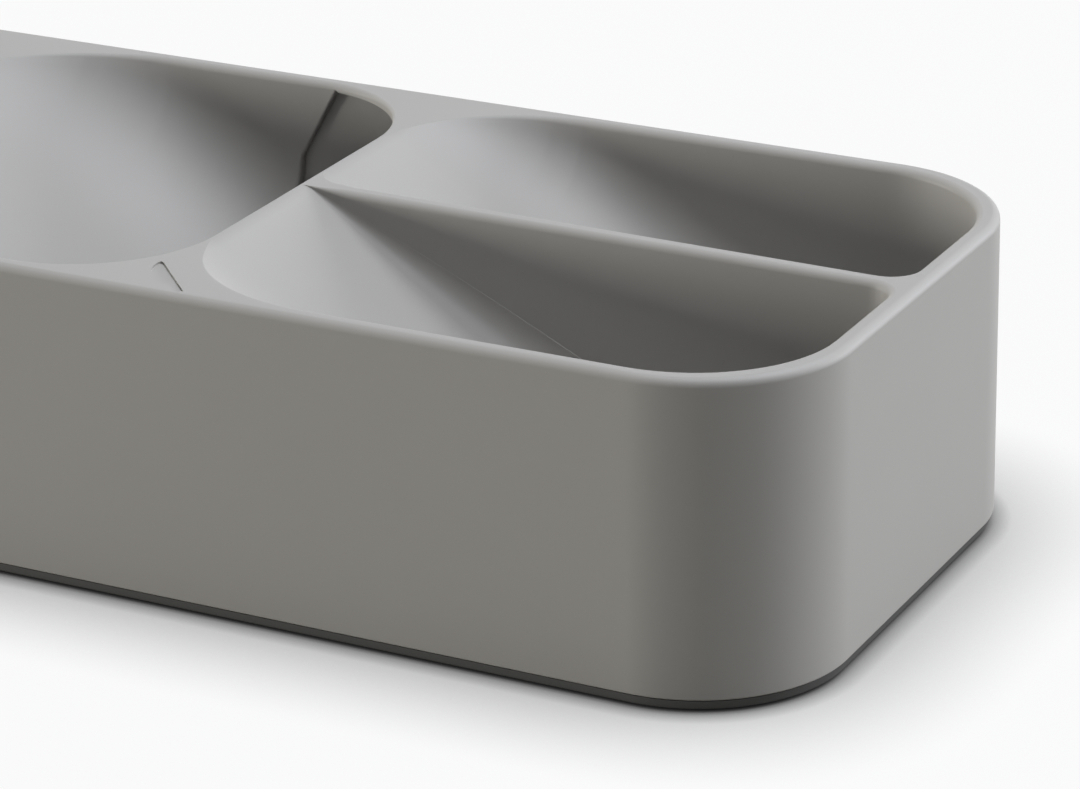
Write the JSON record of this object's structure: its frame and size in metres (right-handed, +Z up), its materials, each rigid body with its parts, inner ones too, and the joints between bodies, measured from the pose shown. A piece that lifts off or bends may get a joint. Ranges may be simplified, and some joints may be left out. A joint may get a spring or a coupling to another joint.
{
  "type": "cutlery drawer organizer",
  "caption": "Long narrow cutlery organizer for a drawer: overlapping sloped compartments with open pockets below, the end row split by a divider, on a flat base with low feet.",
  "frame": {"origin": "middle of the footprint, on the plane that the feet stand on", "axes": "+X along the tray towards the end with the divider, +Z up, +Y from the near long side to the far one"},
  "size_m": [0.395, 0.11, 0.055],
  "materials": {
    "warm_grey_plastic": "fine satin moulded surface",
    "dark_grey_plastic": "fine matt moulded surface",
    "black_rubber": "matt"
  },
  "bodies": {
    "root": {"tray_body": "warm_grey_plastic", "base_panel": "dark_grey_plastic", "foot_near_1": "black_rubber", "foot_near_2": "black_rubber", "foot_near_3": "black_rubber", "foot_far_1": "black_rubber", "foot_far_2": "black_rubber", "foot_far_3": "black_rubber"}
  },
  "joints": []
}
